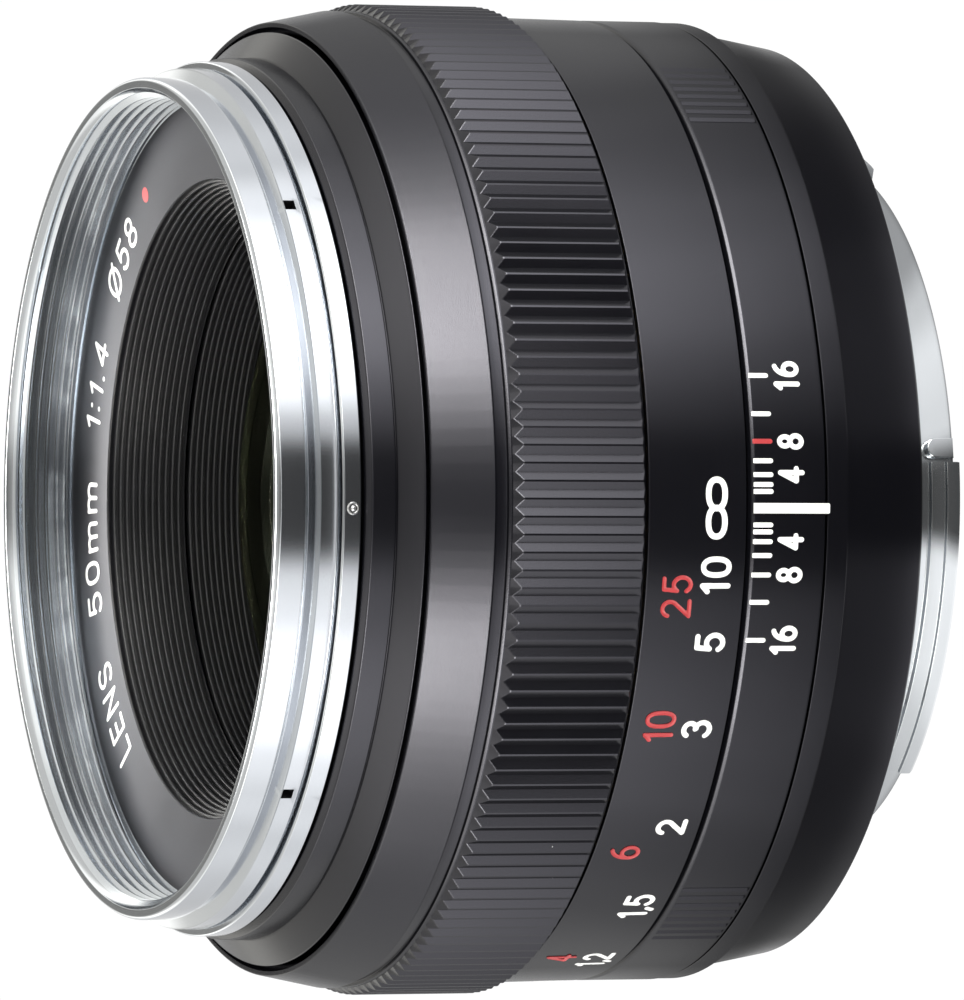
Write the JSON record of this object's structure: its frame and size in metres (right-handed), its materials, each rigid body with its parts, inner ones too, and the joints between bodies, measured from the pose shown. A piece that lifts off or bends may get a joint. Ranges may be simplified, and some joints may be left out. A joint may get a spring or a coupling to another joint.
{
  "type": "prime camera lens",
  "caption": "Black manual-focus camera lens: bright front ring, ribbed focus ring, distance and depth scales, chromed bayonet, sliding optics and an iris of swinging blades.",
  "frame": {"origin": "centre of the rear face of the bayonet lugs, on the optical axis, focus at infinity", "axes": "+Z along the optical axis toward the front; -Y toward the index mark; -X toward the nearer distances"},
  "size_m": [0.071, 0.071, 0.0528],
  "materials": {
    "chrome_plate": "polished plate on brass",
    "silver_anodised": "bright satin anodised",
    "steel": "turned",
    "brass": "machined, lightly greased",
    "gold_plate": "gold plated",
    "black_anodised": "black satin anodised aluminium",
    "black_metal": "matte black inner surfaces",
    "black_plastic": "moulded",
    "board_green": "printed circuit board",
    "optical_glass": "coated optical glass"
  },
  "bodies": {
    "rear_body": {"bayonet_mount": "chrome_plate", "mount_screw_1": "steel", "mount_screw_2": "steel", "mount_screw_3": "steel", "mount_screw_4": "steel", "lug_stop_pin": "steel", "contact_block": "black_plastic", "contact_pin_1": "gold_plate", "contact_pin_2": "gold_plate", "contact_pin_3": "gold_plate", "contact_pin_4": "gold_plate", "contact_pin_5": "gold_plate", "contact_pin_6": "gold_plate", "contact_pin_7": "gold_plate", "rear_baffle": "black_plastic", "rear_shell": "black_anodised", "depth_scale_ring": "black_anodised", "main_barrel": "black_metal", "guide_key_1": "brass", "guide_key_2": "brass", "circuit_board": "board_green"},
    "focus": {"focus_grip_ring": "black_anodised", "distance_scale_ring": "black_anodised", "focus_helicoid": "brass"},
    "front_unit": {"front_bayonet_ring": "silver_anodised", "front_barrel": "black_anodised", "name_ring": "black_anodised", "baffle_front": "black_metal", "baffle_rear": "black_metal", "lens_barrel": "black_metal", "front_lens_cell": "black_metal", "rear_lens_cell": "black_metal", "rear_retaining_ring": "black_metal", "element_1": "optical_glass", "element_2": "optical_glass", "element_3": "optical_glass", "element_4": "optical_glass", "element_5": "optical_glass", "element_6": "optical_glass", "element_7": "optical_glass", "iris_housing": "black_metal", "iris_motor": "steel"},
    "iris_ring": {"iris_drive_ring": "black_metal"},
    "blade_1": {"iris_blade_1": "black_metal"},
    "blade_2": {"iris_blade_2": "black_metal"},
    "blade_3": {"iris_blade_3": "black_metal"},
    "blade_4": {"iris_blade_4": "black_metal"},
    "blade_5": {"iris_blade_5": "black_metal"},
    "blade_6": {"iris_blade_6": "black_metal"},
    "blade_7": {"iris_blade_7": "black_metal"},
    "blade_8": {"iris_blade_8": "black_metal"},
    "blade_9": {"iris_blade_9": "black_metal"}
  },
  "joints": [
    {"name": "focus_turn", "type": "hinge", "parent": "rear_body", "child": "focus", "pos_m": [0, 0, 0.035], "axis": [0, 0, 1], "range_deg": [0, 228]},
    {"name": "front_slide", "type": "slide", "parent": "rear_body", "child": "front_unit", "axis": [0, 0, 1], "range_m": [0, 0.00775]},
    {"name": "iris_turn", "type": "hinge", "parent": "front_unit", "child": "iris_ring", "pos_m": [0, 0, 0.0233], "axis": [0, 0, 1], "range_deg": [0, 40]},
    {"name": "blade_1_swing", "type": "hinge", "parent": "front_unit", "child": "blade_1", "pos_m": [0.00125, -0.01786, 0.02221], "axis": [0, 0, 1], "range_deg": [0, 37.5]},
    {"name": "blade_2_swing", "type": "hinge", "parent": "front_unit", "child": "blade_2", "pos_m": [-0.01052, -0.01448, 0.0225], "axis": [0, 0, 1], "range_deg": [0, 37.5]},
    {"name": "blade_3_swing", "type": "hinge", "parent": "front_unit", "child": "blade_3", "pos_m": [-0.01737, -0.00433, 0.02278], "axis": [0, 0, 1], "range_deg": [0, 37.5]},
    {"name": "blade_4_swing", "type": "hinge", "parent": "front_unit", "child": "blade_4", "pos_m": [-0.01609, 0.00785, 0.02305], "axis": [0, 0, 1], "range_deg": [0, 37.5]},
    {"name": "blade_5_swing", "type": "hinge", "parent": "front_unit", "child": "blade_5", "pos_m": [-0.00728, 0.01635, 0.02334], "axis": [0, 0, 1], "range_deg": [0, 37.5]},
    {"name": "blade_6_swing", "type": "hinge", "parent": "front_unit", "child": "blade_6", "pos_m": [0.00493, 0.01721, 0.02362], "axis": [0, 0, 1], "range_deg": [0, 37.5]},
    {"name": "blade_7_swing", "type": "hinge", "parent": "front_unit", "child": "blade_7", "pos_m": [0.01484, 0.01001, 0.02389], "axis": [0, 0, 1], "range_deg": [0, 37.5]},
    {"name": "blade_8_swing", "type": "hinge", "parent": "front_unit", "child": "blade_8", "pos_m": [0.0178, -0.00187, 0.02417], "axis": [0, 0, 1], "range_deg": [0, 37.5]},
    {"name": "blade_9_swing", "type": "hinge", "parent": "front_unit", "child": "blade_9", "pos_m": [0.01243, -0.01288, 0.02446], "axis": [0, 0, 1], "range_deg": [0, 37.5]}
  ],
  "couplings": [
    {"joint": "front_slide", "follows": "focus_turn", "m_per_rad": 0.001935},
    {"joint": "blade_1_swing", "follows": "iris_turn", "ratio": 0.93},
    {"joint": "blade_2_swing", "follows": "iris_turn", "ratio": 0.93},
    {"joint": "blade_3_swing", "follows": "iris_turn", "ratio": 0.93},
    {"joint": "blade_4_swing", "follows": "iris_turn", "ratio": 0.93},
    {"joint": "blade_5_swing", "follows": "iris_turn", "ratio": 0.93},
    {"joint": "blade_6_swing", "follows": "iris_turn", "ratio": 0.93},
    {"joint": "blade_7_swing", "follows": "iris_turn", "ratio": 0.93},
    {"joint": "blade_8_swing", "follows": "iris_turn", "ratio": 0.93},
    {"joint": "blade_9_swing", "follows": "iris_turn", "ratio": 0.93}
  ]
}
